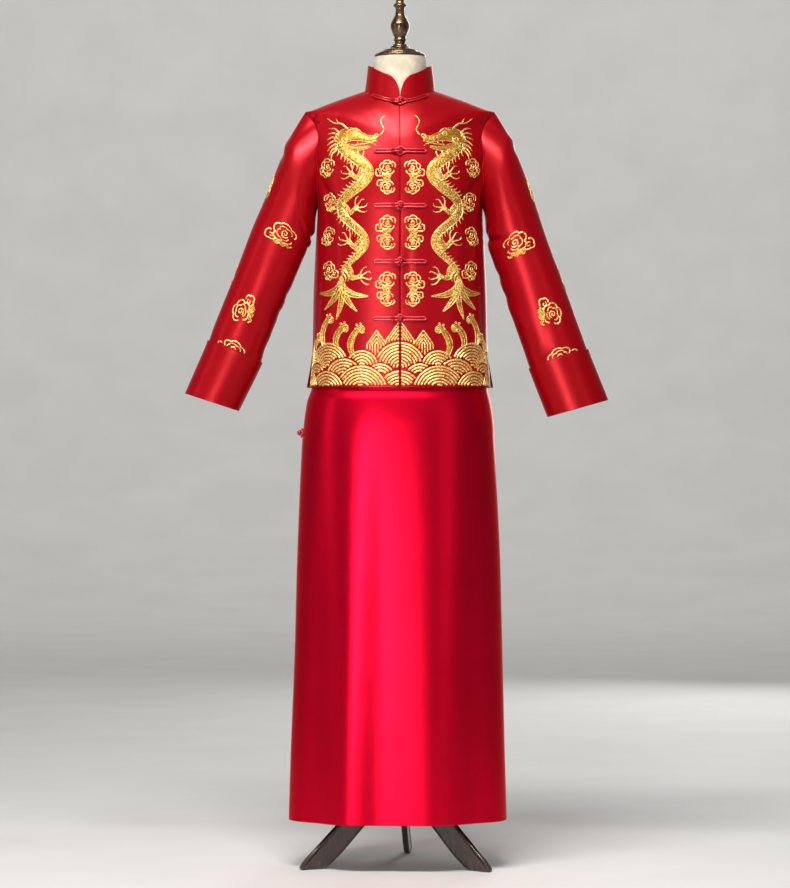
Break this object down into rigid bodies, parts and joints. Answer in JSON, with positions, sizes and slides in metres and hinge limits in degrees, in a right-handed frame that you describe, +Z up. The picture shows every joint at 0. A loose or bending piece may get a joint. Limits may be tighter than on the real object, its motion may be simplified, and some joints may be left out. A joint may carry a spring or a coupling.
{
  "type": "changshan outfit on a dress form stand",
  "caption": "Red satin groom's outfit: a short stand-collar jacket with frog closures and gold embroidery over a long plain changshan, on a limbless dress form with curved legs.",
  "frame": {"origin": "on the floor, at the middle of the whole part's box", "axes": "+Z up, -Y to the wearer's front, +X to the wearer's left"},
  "size_m": [0.8422, 0.3808, 1.7445],
  "materials": {
    "red_satin": "glossy red satin, fine warp weave",
    "red_cord": "satin-covered cord",
    "linen": "matt cream linen over a smooth form",
    "bronze": "dark polished bronze, turned",
    "dark_lacquer": "dark brown lacquered wood"
  },
  "bodies": {
    "root": {"collar": "red_satin", "cuff_left": "red_satin", "cuff_right": "red_satin", "dress_form": "linen", "finial": "bronze", "frog_front_1_knot": "red_cord", "frog_front_1_loop": "red_cord", "frog_front_2_knot": "red_cord", "frog_front_2_loop": "red_cord", "frog_front_3_knot": "red_cord", "frog_front_3_loop": "red_cord", "frog_front_4_knot": "red_cord", "frog_front_4_loop": "red_cord", "frog_neck_knot": "red_cord", "frog_neck_loop": "red_cord", "frog_side_knot": "red_cord", "frog_side_loop": "red_cord", "hub": "dark_lacquer", "jacket_back": "red_satin", "jacket_front_left": "red_satin", "jacket_front_right": "red_satin", "leg_back": "dark_lacquer", "leg_left": "dark_lacquer", "leg_right": "dark_lacquer", "neck_cap": "bronze", "pole": "bronze", "robe_back": "red_satin", "robe_front": "red_satin", "sleeve_left": "red_satin", "sleeve_right": "red_satin"}
  },
  "joints": []
}
